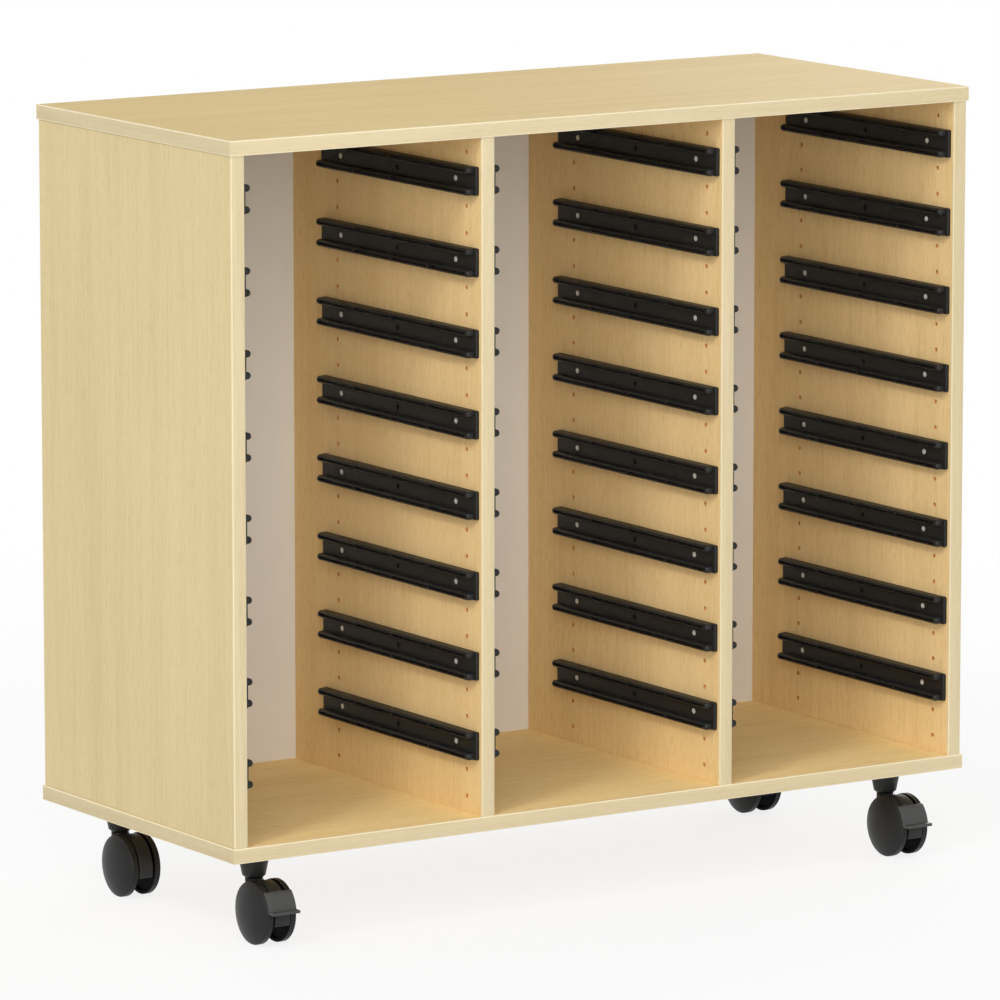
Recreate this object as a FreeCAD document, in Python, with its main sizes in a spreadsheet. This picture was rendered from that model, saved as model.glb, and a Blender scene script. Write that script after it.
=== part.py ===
"""Mobile tray storage unit: a three-bay carcass of laminated board on four twin-wheel castors.

The bays are open at the front. Each upright carries a row of drilled shelf holes and eight levels of
moulded runners, so that every bay takes eight trays. Front is -Y, left is -X, the floor is Z = 0.
"""
import FreeCAD, Part
import math
import os
import Sketcher

BAYS = 3
LEVELS = 8
ROWS_PER_LEVEL = 3
HOLE_SIDES = 6
COLLAR_SIDES = 24
WHEEL_SIDES = 40

SIZES = (
    ("board", 18, "thickness of every laminated board"),
    ("bay_width", 323, "clear width of a bay"),
    ("upright_depth", 444, "front edge to rear edge of a side, edging included"),
    ("clear_height", 808, "inside height between base and top"),
    ("edging", 2, "thickness of the edging strips"),
    ("arris", 1, "bevel along the outer corners of the edging"),
    ("back_thickness", 8, "thickness of the back panel"),
    ("back_recess", 13.5, "rear edge of a side to the rear of the back panel"),
    ("groove_depth", 6, "depth of the groove that holds the back panel"),
    ("groove_play", 0.1, "play of the back panel in its groove"),
    ("hole_radius", 2.75, "radius of a shelf hole"),
    ("hole_depth", 12, "depth of a shelf hole in a side"),
    ("row_margin", 20, "base to the lowest row of shelf holes, and top to the highest"),
    ("front_column", 33, "front of an upright to the front column of holes"),
    ("column_spacing", 288, "front column to rear column of holes"),
    ("runner_front", 5.5, "front of an upright to the front of a runner"),
    ("runner_length", 344, "length of a runner"),
    ("runner_height", 34, "height of a runner"),
    ("runner_plate", 5, "thickness of a runner's back plate"),
    ("runner_reach", 14.5, "wall to the nose of a runner's flange"),
    ("flange_height", 8.5, "height of one runner flange"),
    ("flange_setback", 4.2, "front of a runner's plate to its flanges"),
    ("castor_height", 108, "floor to the underside of the base"),
    ("castor_side_inset", 65.5, "outer face of a side to a castor's stem"),
    ("castor_end_inset", 66, "front or rear edge of a side to a castor's stem"),
    ("castor_trail", 26, "stem to wheel axle"),
    ("wheel_radius", 37.5, "radius of a wheel"),
    ("wheel_width", 13.5, "width of a wheel"),
    ("wheel_gap", 1.8, "gap between a wheel and the housing"),
    ("bore_depth", 9, "depth of the axle's bore in a wheel"),
    ("axle_radius", 3, "radius of the wheel axle"),
    ("fit_play", 0.05, "radial play of turning and pushed-in fits"),
    ("axle_end_play", 0.3, "axle's end to the bottom of a wheel's bore"),
    ("housing_width", 20, "width of the housing between the wheels"),
    ("hood_radius", 36.8, "radius of the housing's hood"),
    ("hood_drop", 11, "axle down to the lower edge of the hood"),
    ("neck_radius", 10.4, "radius of the housing's neck"),
    ("neck_gap", 0.6, "gap between the neck and the collar above"),
    ("collar_height", 34, "height of the conical collar below the base"),
    ("collar_top_radius", 20, "radius of the collar at the base"),
    ("collar_low_radius", 13.4, "radius of the collar at its lower end"),
    ("stem_radius", 5.5, "radius of the castor's stem"),
    ("stem_in_neck", 20, "length of the stem inside the neck"),
    ("shield_gap", 0.8, "gap between a wheel's tread and the brake pedal"),
    ("shield_thickness", 2, "thickness of the pedal's curved shield"),
    ("shield_width", 37, "width of the pedal"),
    ("shield_low", 4.5, "axle up to the lower end of the shield"),
    ("shield_high", 29, "axle up to the upper end of the shield"),
    ("skirt_gap", 0.4, "gap between the hood and the pedal's skirt"),
    ("tab_reach", 8, "length of the tab that a foot presses"),
    ("tab_thickness", 3.6, "thickness of that tab"),
    ("lever_thickness", 5, "thickness of the pedal's lever inside the housing"),
    ("lever_height", 9, "height of that lever"),
    ("lever_ring", 6.5, "outer radius of the lever's ring on the axle"),
    ("slot_play", 0.5, "play each side of the lever in its slot"),
)

CASTORS = (
    ("front_left", -1, -1, True),
    ("front_right", 1, -1, True),
    ("rear_left", -1, 1, False),
    ("rear_right", 1, 1, False),
)


class Dim:
    """A length that knows its number and the sheet expression that gives it."""

    def __init__(self, value, text):
        self.value = float(value)
        self.text = text

    @staticmethod
    def of(thing):
        return thing if isinstance(thing, Dim) else Dim(thing, repr(float(thing)))

    def __add__(self, other):
        other = Dim.of(other)
        return Dim(self.value + other.value, f"({self.text} + {other.text})")

    def __sub__(self, other):
        other = Dim.of(other)
        return Dim(self.value - other.value, f"({self.text} - {other.text})")

    def __mul__(self, other):
        other = Dim.of(other)
        return Dim(self.value * other.value, f"({self.text} * {other.text})")

    def __truediv__(self, other):
        other = Dim.of(other)
        return Dim(self.value / other.value, f"({self.text} / {other.text})")

    def __neg__(self):
        return self * -1

    def __radd__(self, other):
        return Dim.of(other) + self

    def __rsub__(self, other):
        return Dim.of(other) - self

    def __rmul__(self, other):
        return Dim.of(other) * self

    def root(self):
        return Dim(math.sqrt(self.value), f"sqrt({self.text})")


ZERO = Dim(0, "0")
doc = FreeCAD.newDocument("tray_storage_unit")
sheet = doc.addObject("Spreadsheet::Sheet", "sizes")
size = {}
for row, (alias, value, meaning) in enumerate(SIZES, start=1):
    sheet.set(f"A{row}", meaning)
    sheet.set(f"B{row}", str(value))
    sheet.setAlias(f"B{row}", alias)
    size[alias] = Dim(value, f"sizes.{alias}")
doc.recompute()

# Places that several pieces share
half_width = (BAYS * size["bay_width"] + (BAYS + 1) * size["board"]) / 2
half_depth = size["upright_depth"] / 2
bay_step = size["bay_width"] + size["board"]
base_low = size["castor_height"]
base_high = base_low + size["board"]
top_low = base_high + size["clear_height"]
core_front = size["edging"] - half_depth
back_rear = half_depth - size["back_recess"]
back_front = back_rear - size["back_thickness"]
hole_pitch = (size["clear_height"] - 2 * size["row_margin"]) / (ROWS_PER_LEVEL * LEVELS)
level_step = ROWS_PER_LEVEL * hole_pitch
stem_x = half_width - size["castor_side_inset"]
stem_y = half_depth - size["castor_end_inset"]
wheel_inner = size["housing_width"] / 2 + size["wheel_gap"]
neck_top = base_low - size["collar_height"] - size["neck_gap"] - size["wheel_radius"]
nodes = []


def bind(thing, prop, dim):
    thing.setExpression(prop, Dim.of(dim).text)


def place(thing, x=ZERO, y=ZERO, z=ZERO):
    """Puts an object at x, y, z and ties that place to the sheet."""
    for axis, dim in (("x", x), ("y", y), ("z", z)):
        bind(thing, f"Placement.Base.{axis}", dim)
    return thing


def node(thing, label):
    """Marks an object as a finished sub-part and gives it its name."""
    thing.Label = label
    nodes.append(thing)
    return thing


def new_body(name):
    return doc.addObject("PartDesign::Body", name)


def sketch_on(body, plane, lift=None):
    """A sketch on one of the body's own origin planes, lifted along that plane's normal."""
    sketch = body.newObject("Sketcher::SketchObject", body.Name + "_sketch")
    support = [item for item in body.Origin.OriginFeatures if item.Role == plane][0]
    sketch.AttachmentSupport = [(support, "")]
    sketch.MapMode = "FlatFace"
    if lift is not None:
        bind(sketch, "AttachmentOffset.Base.z", lift)
    return sketch


def hold(sketch, kind, places, dim):
    """A constraint of one size, tied to the sheet."""
    index = sketch.addConstraint(Sketcher.Constraint(kind, *places, dim.value))
    sketch.setExpression(f"Constraints[{index}]", dim.text)


def fix_point(sketch, edge, end, x, y):
    """Holds one end of an edge at x, y from the sketch's origin."""
    hold(sketch, "DistanceX", (-1, 1, edge, end), Dim.of(x))
    hold(sketch, "DistanceY", (-1, 1, edge, end), Dim.of(y))


def polygon(sketch, points):
    """A closed outline of straight lines through the given points."""
    corners = [FreeCAD.Vector(Dim.of(x).value, Dim.of(y).value, 0) for x, y in points]
    edges = []
    for start, end in zip(corners, corners[1:] + corners[:1]):
        edges.append(sketch.addGeometry(Part.LineSegment(start, end), False))
    for edge, following in zip(edges, edges[1:] + edges[:1]):
        sketch.addConstraint(Sketcher.Constraint("Coincident", edge, 2, following, 1))
    for edge, (x, y) in zip(edges, points):
        fix_point(sketch, edge, 1, x, y)
    return sketch


def rectangle(sketch, low_x, high_x, low_y, high_y):
    return polygon(sketch, [(low_x, low_y), (high_x, low_y), (high_x, high_y), (low_x, high_y)])


def circle(sketch, x, y, radius):
    centre = FreeCAD.Vector(Dim.of(x).value, Dim.of(y).value, 0)
    edge = sketch.addGeometry(Part.Circle(centre, FreeCAD.Vector(0, 0, 1), radius.value), False)
    hold(sketch, "Radius", (edge,), radius)
    fix_point(sketch, edge, 3, x, y)
    return sketch


def many_sided(sketch, x, y, radius, sides):
    """A round outline drawn with straight sides, for shapes that come many times."""
    turns = [2 * math.pi * i / sides for i in range(sides)]
    return polygon(sketch, [(x + radius * math.cos(a), y + radius * math.sin(a)) for a in turns])


def feature(body, kind, sketch, length=None, reverse=False, middle=False):
    """A pad or pocket of a sketch; with no length a pocket goes through everything."""
    made = body.newObject(f"PartDesign::{kind}", f"{body.Name}_{kind.lower()}")
    made.Profile = sketch
    made.Reversed = reverse
    if middle:
        made.SideType = "Symmetric"
    if length is None:
        made.Type = "ThroughAll"
    else:
        made.Length = Dim.of(length).value
        bind(made, "Length", length)
    body.Tip = made
    return made


def pad(body, sketch, length, **options):
    return feature(body, "Pad", sketch, length, **options)


def pocket(body, sketch, length=None, **options):
    """A pocket, checked to take material away."""
    doc.recompute()
    before = body.Shape.Volume
    made = feature(body, "Pocket", sketch, length, **options)
    doc.recompute()
    if body.Shape.Volume >= before - 1e-6:
        raise RuntimeError(f"{body.Name}: a pocket cut nothing")
    return made


def compound(label, pieces):
    group = doc.addObject("Part::Compound", label)
    group.Links = pieces
    return node(group, label)


def upright_places():
    """Left face of each upright, from left to right."""
    return [bay_step * i - half_width for i in range(BAYS + 1)]


def shelf_holes(body, depth, reverse):
    """Two columns of shelf holes, left out where a runner's plate covers them."""
    columns = [size["front_column"] - half_depth]
    columns.append(columns[0] + size["column_spacing"])

    def rows(numbers):
        sketch = sketch_on(body, "YZ_Plane")
        for number in numbers:
            for column in columns:
                many_sided(sketch, column, size["row_margin"] + number * hole_pitch, size["hole_radius"],
                           HOLE_SIDES)
        return sketch

    pocket(body, rows([ROWS_PER_LEVEL * LEVELS]), depth, reverse=reverse)
    first = pocket(body, rows(range(ROWS_PER_LEVEL - 1)), depth, reverse=reverse)
    pattern = body.newObject("PartDesign::LinearPattern", body.Name + "_rows")
    pattern.Originals = [first]
    vertical = [item for item in body.Origin.OriginFeatures if item.Role == "Z_Axis"][0]
    pattern.Direction = (vertical, [""])
    pattern.Occurrences = LEVELS
    pattern.Length = ((LEVELS - 1) * level_step).value
    bind(pattern, "Length", (LEVELS - 1) * level_step)
    body.Tip = pattern


def side_panel(label, side):
    """An outer side, with the back panel's groove; its inner face is the body's YZ plane."""
    body = new_body(label)
    outer = side * size["board"]
    groove = side * size["groove_depth"]
    groove_front = back_front - size["groove_play"]
    groove_rear = back_rear + size["groove_play"]
    outline = [(ZERO, core_front), (outer, core_front), (outer, half_depth), (ZERO, half_depth),
               (ZERO, groove_rear), (groove, groove_rear), (groove, groove_front), (ZERO, groove_front)]
    pad(body, polygon(sketch_on(body, "XY_Plane"), outline), size["clear_height"])
    shelf_holes(body, size["hole_depth"], reverse=side > 0)
    place(body, side * (half_width - size["board"]), ZERO, base_high)
    return node(body, label)


def divider(label, left):
    """An inner upright, drilled right through and butted against the back panel."""
    body = new_body(label)
    pad(body, rectangle(sketch_on(body, "XY_Plane"), ZERO, size["board"], core_front, back_front),
        size["clear_height"])
    shelf_holes(body, None, reverse=True)
    place(body, left, ZERO, base_high)
    return node(body, label)


def level_panel(label, facing, height):
    """The top (facing 1) or base (facing -1); its inner face is the body's XY plane."""
    body = new_body(label)
    upward = facing > 0
    pad(body, rectangle(sketch_on(body, "XY_Plane"), -half_width, half_width, -half_depth, half_depth),
        size["board"], reverse=not upward)
    inner = half_width - size["board"] + size["groove_depth"]
    groove = rectangle(sketch_on(body, "XY_Plane"), -inner, inner,
                       back_front - size["groove_play"], back_rear + size["groove_play"])
    pocket(body, groove, size["groove_depth"], reverse=upward)
    place(body, ZERO, ZERO, height)
    return node(body, label)


def back_panel(label):
    """The white back, held in grooves in the sides, top and base."""
    body = new_body(label)
    reach = size["groove_depth"] - size["groove_play"]
    half = half_width - size["board"] + reach
    low = base_high - reach
    sketch = rectangle(sketch_on(body, "XY_Plane"), -half, half, back_front, back_rear)
    pad(body, sketch, size["clear_height"] + 2 * reach)
    place(body, ZERO, ZERO, low)
    return node(body, label)


def strip_section(low, high, inner, outer):
    """Section of an edging strip: flat against the board, bevelled along its two outer corners."""
    bevel = size["arris"] if outer.value > inner.value else -size["arris"]
    return [(inner, low), (outer - bevel, low), (outer, low + size["arris"]),
            (outer, high - size["arris"]), (outer - bevel, high), (inner, high)]


def board_edging(label, low):
    """Four strips round the top or base, which stand out past the uprights."""
    pieces = []
    high = low + size["board"]
    for end in (-1, 1):
        body = new_body(f"{label}_{'rear' if end > 0 else 'front'}")
        section = strip_section(low, high, end * half_depth, end * (half_depth + size["edging"]))
        pad(body, polygon(sketch_on(body, "YZ_Plane"), section), 2 * (half_width + size["edging"]), middle=True)
        pieces.append(body)
    for side in (-1, 1):
        body = new_body(f"{label}_{'right' if side > 0 else 'left'}")
        section = strip_section(low, high, side * half_width, side * (half_width + size["edging"]))
        pad(body, polygon(sketch_on(body, "XZ_Plane"), section), 2 * half_depth, middle=True)
        pieces.append(body)
    return compound(label, pieces)


def upright_edging(label):
    """One strip along the front edge of each upright."""
    pieces = []
    arris = size["arris"]
    for number, left in enumerate(upright_places()):
        body = new_body(f"{label}_{number + 1}")
        right = left + size["board"]
        outline = [(left, core_front), (left, arris - half_depth), (left + arris, -half_depth),
                   (right - arris, -half_depth), (right, arris - half_depth), (right, core_front)]
        pad(body, polygon(sketch_on(body, "XY_Plane"), outline), size["clear_height"])
        pieces.append(place(body, ZERO, ZERO, base_high))
    return compound(label, pieces)


def runner(name):
    """A moulded runner for the right-hand wall of a bay, centred on the bay and on the runner's own row."""
    body = new_body(name)
    wall = size["bay_width"] / 2
    face = wall - size["runner_plate"]
    nose = wall - size["runner_reach"]
    outer = size["runner_height"] / 2
    inner = outer - size["flange_height"]
    front = size["runner_front"] - half_depth
    plate = rectangle(sketch_on(body, "XZ_Plane", -front), face, wall, -outer, outer)
    pad(body, plate, size["runner_length"], reverse=True)
    flanges = sketch_on(body, "XZ_Plane", -(front + size["flange_setback"]))
    for side in (-1, 1):
        rectangle(flanges, nose, face, side * inner, side * outer)
    pad(body, flanges, size["runner_length"] - size["flange_setback"], reverse=True)
    return body


def runner_pairs():
    """The left and right runner of every level in every bay."""
    right = runner("right_runner")
    left = doc.addObject("Part::Mirroring", "left_runner")
    left.Source = right
    left.Normal = FreeCAD.Vector(1, 0, 0)
    lowest = base_high + size["row_margin"] + (ROWS_PER_LEVEL - 1) * hole_pitch
    for bay in range(BAYS):
        centre = bay_step * (bay - (BAYS - 1) / 2)
        for level in range(LEVELS):
            pair = compound(f"bay_{bay + 1}_runners_level_{level + 1}", [right, left])
            place(pair, centre, ZERO, lowest + level * level_step)


def castor_socket(name):
    """The conical plastic collar under the base, bored for the stem; Z = 0 is the underside of the base."""
    body = new_body(name)
    loft = body.newObject("PartDesign::AdditiveLoft", name + "_loft")
    loft.Profile = many_sided(sketch_on(body, "XY_Plane"), ZERO, ZERO, size["collar_top_radius"], COLLAR_SIDES)
    loft.Sections = [many_sided(sketch_on(body, "XY_Plane", -size["collar_height"]), ZERO, ZERO,
                                size["collar_low_radius"], COLLAR_SIDES)]
    loft.Ruled = True
    body.Tip = loft
    pocket(body, circle(sketch_on(body, "XY_Plane"), ZERO, ZERO, size["stem_radius"] + size["fit_play"]))
    return body


def castor_supports():
    """Sockets and stems of all castors, which stay with the base."""
    sockets, stems = [], []
    reach = size["collar_height"] + size["neck_gap"]
    for name, side, end, _ in CASTORS:
        sockets.append(place(castor_socket(name + "_socket"), side * stem_x, end * stem_y, base_low))
        stem = doc.addObject("Part::Cylinder", name + "_stem")
        bind(stem, "Radius", size["stem_radius"])
        bind(stem, "Height", reach + size["stem_in_neck"])
        low = size["wheel_radius"] + neck_top - size["stem_in_neck"]
        stems.append(place(stem, side * stem_x, end * stem_y, low))
    compound("castor_sockets", sockets)
    compound("castor_stems", stems)


def hood_sketch(body):
    """Side view of the housing: a round hood over the axle with a flat lower edge."""
    sketch = sketch_on(body, "YZ_Plane")
    radius = size["hood_radius"]
    drop = size["hood_drop"]
    low_turn = -math.asin(drop.value / radius.value)
    ring = Part.Circle(FreeCAD.Vector(0, 0, 0), FreeCAD.Vector(0, 0, 1), radius.value)
    arc = sketch.addGeometry(Part.ArcOfCircle(ring, low_turn, math.pi - low_turn), False)
    half = math.sqrt(radius.value ** 2 - drop.value ** 2)
    chord = Part.LineSegment(FreeCAD.Vector(-half, -drop.value, 0), FreeCAD.Vector(half, -drop.value, 0))
    line = sketch.addGeometry(chord, False)
    sketch.addConstraint(Sketcher.Constraint("Coincident", arc, 3, -1, 1))
    sketch.addConstraint(Sketcher.Constraint("Coincident", arc, 2, line, 1))
    sketch.addConstraint(Sketcher.Constraint("Coincident", arc, 1, line, 2))
    sketch.addConstraint(Sketcher.Constraint("Horizontal", line))
    hold(sketch, "Radius", (arc,), radius)
    hold(sketch, "DistanceY", (line, 1, -1, 1), drop)
    return sketch


def castor_housing(label, braked):
    """Housing of one castor round its axle, which is the body's X axis."""
    body = new_body(label)
    pad(body, hood_sketch(body), size["housing_width"], middle=True)
    neck = circle(sketch_on(body, "XY_Plane"), ZERO, size["castor_trail"], size["neck_radius"])
    pad(body, neck, neck_top)
    stem_hole = circle(sketch_on(body, "XY_Plane", neck_top), ZERO, size["castor_trail"],
                       size["stem_radius"] + size["fit_play"])
    pocket(body, stem_hole, size["stem_in_neck"] + size["axle_end_play"])
    axle_hole = circle(sketch_on(body, "YZ_Plane"), ZERO, ZERO, size["axle_radius"] + size["fit_play"])
    pocket(body, axle_hole, size["housing_width"], middle=True)
    if braked:
        reach = size["hood_radius"] + size["shield_gap"]
        back = size["lever_ring"] + size["slot_play"]
        below = -(size["hood_drop"] + size["slot_play"])
        slot = rectangle(sketch_on(body, "YZ_Plane"), -reach, back, below, size["shield_high"])
        pocket(body, slot, size["lever_thickness"] + 2 * size["slot_play"], middle=True)
    return node(body, label)


def castor_wheel(label, side):
    """One wheel, closed outside and bored for the axle, on the body's X axis."""
    body = new_body(label)
    inner = side * wheel_inner
    tread = many_sided(sketch_on(body, "YZ_Plane", inner), ZERO, ZERO, size["wheel_radius"], WHEEL_SIDES)
    pad(body, tread, size["wheel_width"], reverse=side < 0)
    bore = circle(sketch_on(body, "YZ_Plane", inner), ZERO, ZERO, size["axle_radius"] + size["fit_play"])
    pocket(body, bore, size["bore_depth"], reverse=side > 0)
    return node(body, label)


def shield_arc(sketch, radius, low, high):
    """An arc round the axle between two heights, in front of it; returns its edge, upper end first."""
    low_turn = math.pi - math.asin(low.value / radius.value)
    high_turn = math.pi - math.asin(high.value / radius.value)
    ring = Part.Circle(FreeCAD.Vector(0, 0, 0), FreeCAD.Vector(0, 0, 1), radius.value)
    edge = sketch.addGeometry(Part.ArcOfCircle(ring, high_turn, low_turn), False)
    sketch.addConstraint(Sketcher.Constraint("Coincident", edge, 3, -1, 1))
    hold(sketch, "Radius", (edge,), radius)
    hold(sketch, "DistanceY", (-1, 1, edge, 1), high)
    hold(sketch, "DistanceY", (-1, 1, edge, 2), low)
    return edge


def shield_sketch(body):
    """Side view of the pedal: a shield round the tread that ends in a flat tab."""
    sketch = sketch_on(body, "YZ_Plane")
    inner = size["wheel_radius"] + size["shield_gap"]
    outer = inner + size["shield_thickness"]
    low, high = size["shield_low"], size["shield_high"]
    tab_high = low + size["tab_thickness"]
    tip = -(outer + size["tab_reach"])
    inner_arc = shield_arc(sketch, inner, low, high)
    outer_arc = shield_arc(sketch, outer, tab_high, high)
    corner = FreeCAD.Vector(tip.value, tab_high.value, 0)
    below = FreeCAD.Vector(tip.value, low.value, 0)
    ends = {(edge, end): sketch.getPoint(edge, end) for edge in (inner_arc, outer_arc) for end in (1, 2)}
    runs = ((ends[outer_arc, 2], corner), (corner, below), (below, ends[inner_arc, 2]),
            (ends[inner_arc, 1], ends[outer_arc, 1]))
    tab_top, tab_end, tab_under, crest = [sketch.addGeometry(Part.LineSegment(*run), False) for run in runs]
    for meeting in ((outer_arc, 2, tab_top, 1), (tab_top, 2, tab_end, 1), (tab_end, 2, tab_under, 1),
                    (tab_under, 2, inner_arc, 2), (inner_arc, 1, crest, 1), (crest, 2, outer_arc, 1)):
        sketch.addConstraint(Sketcher.Constraint("Coincident", *meeting))
    fix_point(sketch, tab_end, 1, tip, tab_high)
    fix_point(sketch, tab_end, 2, tip, low)
    return sketch


def skirt_sketch(body):
    """Side view of the pedal's skirt, which covers the housing's slot below the tab."""
    sketch = sketch_on(body, "YZ_Plane")
    low = -size["hood_drop"]
    high = size["shield_low"] + size["tab_thickness"]
    inner = shield_arc(sketch, size["hood_radius"] + size["skirt_gap"], low, high)
    outer = shield_arc(sketch, size["wheel_radius"] + size["shield_gap"] + size["shield_thickness"] / 2, low, high)
    for end in (1, 2):
        run = Part.LineSegment(sketch.getPoint(inner, end), sketch.getPoint(outer, end))
        line = sketch.addGeometry(run, False)
        sketch.addConstraint(Sketcher.Constraint("Coincident", line, 1, inner, end))
        sketch.addConstraint(Sketcher.Constraint("Coincident", line, 2, outer, end))
    return sketch


def brake_pedal(label):
    """Pedal of a braked castor: shield, tab and skirt outside, and a lever that turns on the axle."""
    body = new_body(label)
    pad(body, shield_sketch(body), size["shield_width"], middle=True)
    pad(body, skirt_sketch(body), size["housing_width"], middle=True)
    lever = sketch_on(body, "YZ_Plane")
    reach = size["wheel_radius"] + size["shield_gap"] + size["shield_thickness"] / 2
    low = size["shield_low"]
    high = low + size["lever_height"]
    foot = -(reach * reach - high * high).root()
    rectangle(lever, foot, ZERO, low - size["lever_ring"], high)
    pad(body, lever, size["lever_thickness"], middle=True)
    ring = circle(sketch_on(body, "YZ_Plane"), ZERO, ZERO, size["lever_ring"])
    pad(body, ring, size["lever_thickness"], middle=True)
    bore = circle(sketch_on(body, "YZ_Plane"), ZERO, ZERO, size["axle_radius"] + size["fit_play"])
    pocket(body, bore, size["lever_thickness"], middle=True)
    return node(body, label)


def axle(label):
    """The steel axle that carries both wheels, along X."""
    rod = doc.addObject("Part::Cylinder", label)
    half = wheel_inner + size["bore_depth"] - size["axle_end_play"]
    bind(rod, "Radius", size["axle_radius"])
    bind(rod, "Height", 2 * half)
    rod.Placement.Rotation = FreeCAD.Rotation(FreeCAD.Vector(0, 1, 0), 90)
    return node(rod, label), half


def castor(name, side, end, braked):
    """Everything of one castor that swivels, with the wheels ahead of the stem."""
    x, y, z = side * stem_x, end * stem_y - size["castor_trail"], size["wheel_radius"]
    place(castor_housing(f"{name}_castor_housing", braked), x, y, z)
    rod, half = axle(f"{name}_castor_axle")
    place(rod, x - half, y, z)
    for hand, which in ((-1, "left"), (1, "right")):
        place(castor_wheel(f"{name}_castor_{which}_wheel", hand), x, y, z)
    if braked:
        place(brake_pedal(f"{name}_brake_pedal"), x, y, z)


def carcass():
    level_panel("top_panel", 1, top_low)
    level_panel("base_panel", -1, base_high)
    side_panel("left_side_panel", -1)
    side_panel("right_side_panel", 1)
    for label, left in zip(("left_divider", "right_divider"), upright_places()[1:-1]):
        divider(label, left)
    back_panel("back_panel")
    board_edging("top_edging", top_low)
    board_edging("base_edging", base_low)
    upright_edging("upright_edging")


def check_and_write():
    """Stops on any failed object, then writes one file for each sub-part."""
    doc.recompute()
    for thing in doc.Objects:
        if "Invalid" in thing.State or "Error" in thing.State:
            raise RuntimeError(f"{thing.Label} failed: {thing.State}")
    for thing in nodes:
        if thing.Shape.isNull() or not thing.Shape.isValid() or not thing.Shape.Solids:
            raise RuntimeError(f"{thing.Label} has no valid solid")
    os.makedirs("parts", exist_ok=True)
    for thing in nodes:
        thing.Shape.exportStep(f"parts/{thing.Label}.step")
    print(len(nodes), "sub-parts,", sum(len(thing.Shape.Solids) for thing in nodes), "solids")


carcass()
runner_pairs()
castor_supports()
for each in CASTORS:
    castor(*each)
check_and_write()
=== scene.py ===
"""Looks of a mobile tray storage unit: boards, edging, runners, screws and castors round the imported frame."""
import bmesh
import bpy
import math
from contextlib import contextmanager
from mathutils import Matrix, Vector


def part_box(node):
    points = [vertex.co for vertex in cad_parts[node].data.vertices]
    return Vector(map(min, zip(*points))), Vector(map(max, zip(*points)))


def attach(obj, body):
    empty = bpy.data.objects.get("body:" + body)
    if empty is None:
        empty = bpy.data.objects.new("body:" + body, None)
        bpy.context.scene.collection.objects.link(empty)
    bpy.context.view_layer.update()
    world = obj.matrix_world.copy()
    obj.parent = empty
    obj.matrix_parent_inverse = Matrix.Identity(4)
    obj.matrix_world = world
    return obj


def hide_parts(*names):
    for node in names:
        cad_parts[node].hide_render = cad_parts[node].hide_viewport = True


bl_info = {
    "name": "Tray storage unit",
    "version": (1, 0, 0),
    "blender": (4, 5, 0),
    "location": "View3D > Sidebar > Tray unit",
    "description": "Dresses the frame of a mobile tray storage unit",
    "category": "Object",
}

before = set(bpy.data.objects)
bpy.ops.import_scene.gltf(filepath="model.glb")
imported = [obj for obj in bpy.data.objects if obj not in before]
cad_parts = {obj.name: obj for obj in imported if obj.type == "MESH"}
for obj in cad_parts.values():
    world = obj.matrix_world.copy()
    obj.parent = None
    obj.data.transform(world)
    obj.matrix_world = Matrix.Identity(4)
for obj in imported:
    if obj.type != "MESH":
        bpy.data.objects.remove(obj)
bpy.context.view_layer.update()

CARCASS = "carcass"
CASTORS = ("front_left", "front_right", "rear_left", "rear_right")
BRAKED = ("front_left", "front_right")
UPRIGHTS = ("left_side_panel", "left_divider", "right_divider", "right_side_panel")
BAYS = 3
LEVELS = 8
ROWS_PER_LEVEL = 3
ROWS = LEVELS * ROWS_PER_LEVEL + 1
RUNNERS = [f"bay_{bay + 1}_runners_level_{level + 1}" for bay in range(BAYS) for level in range(LEVELS)]
ARRIS = "arris"
QUARTER = math.pi / 2

# Facets round each turned shape
WHEEL_SIDES = 72
COLLAR_SIDES = 48
SCREW_SIDES = 24
HOLE_SIDES = 20

# Steps along each curve
CORNER_STEPS = 4
NOSE_STEPS = 6
END_STEPS = 5
DOME_STEPS = 14
PLUG_STEPS = 8

# Distances under which points count as one, in metres
WELD = 1e-7
NODE_WELD = 1e-6
SLIVER = 2e-6
FLANK_TOLERANCE = 1e-5

# Angle up to which faces of a solid count as one flat face
FLAT = math.radians(0.5)

# Angles in degrees up to which corners are shaded smooth
SMOOTH = 35.0
SMOOTH_EDGING = 50.0
SMOOTH_WHEEL = 30.0

# Shares: the fullest rounding of a flange, and points (height, radius) and cross of a screw's head
FULLEST = 0.98
PAN_HEAD = ((0.0, 0.0), (0.0, 1.0), (0.35, 1.0), (0.8, 0.72), (1.0, 0.4), (1.0, 0.0))
CROSS_WIDTH, CROSS_REACH, CROSS_DEPTH = 0.28, 0.46, 0.55

# Grooves along a flange, and the power of a wheel dome's curve
GROOVE_PARTS = 4
DOME_POWER = 2.3

# Places and widths of the lamps, and the point that they face
LAMPS = {"key": ((-4.36, -6.57, 3.5), 8.06), "fill": ((-5.34, -2.61, 5.8), 1.28), "rear": ((3.4, 2.3, 2.4), 3.0)}
LIT_POINT = Vector((0.0, 0.0, 0.45))
WHITE = (1.0, 1.0, 1.0, 1.0)

# The camera's image in pixels, sensor in millimetres and reach in metres
IMAGE_WIDTH = 1000
SENSOR = 36.0
FAR_CLIP = 100.0


def tint(red, green, blue):
    """A colour written as it looks on screen, 0 to 255, turned into the linear one that shaders take."""
    parts = [channel / 255 for channel in (red, green, blue)]
    return tuple(c / 12.92 if c <= 0.04045 else ((c + 0.055) / 1.055) ** 2.4 for c in parts)


def amount(name, description, default, **options):
    return bpy.props.FloatProperty(name=name, description=description, default=default, **options)


def length(name, description, default):
    return amount(name, description, default, min=0.0, precision=5, subtype="DISTANCE", unit="LENGTH")


def colour(name, description, default):
    return bpy.props.FloatVectorProperty(
        name=name, description=description, default=default, size=3, min=0.0, max=1.0, subtype="COLOR")


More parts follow.
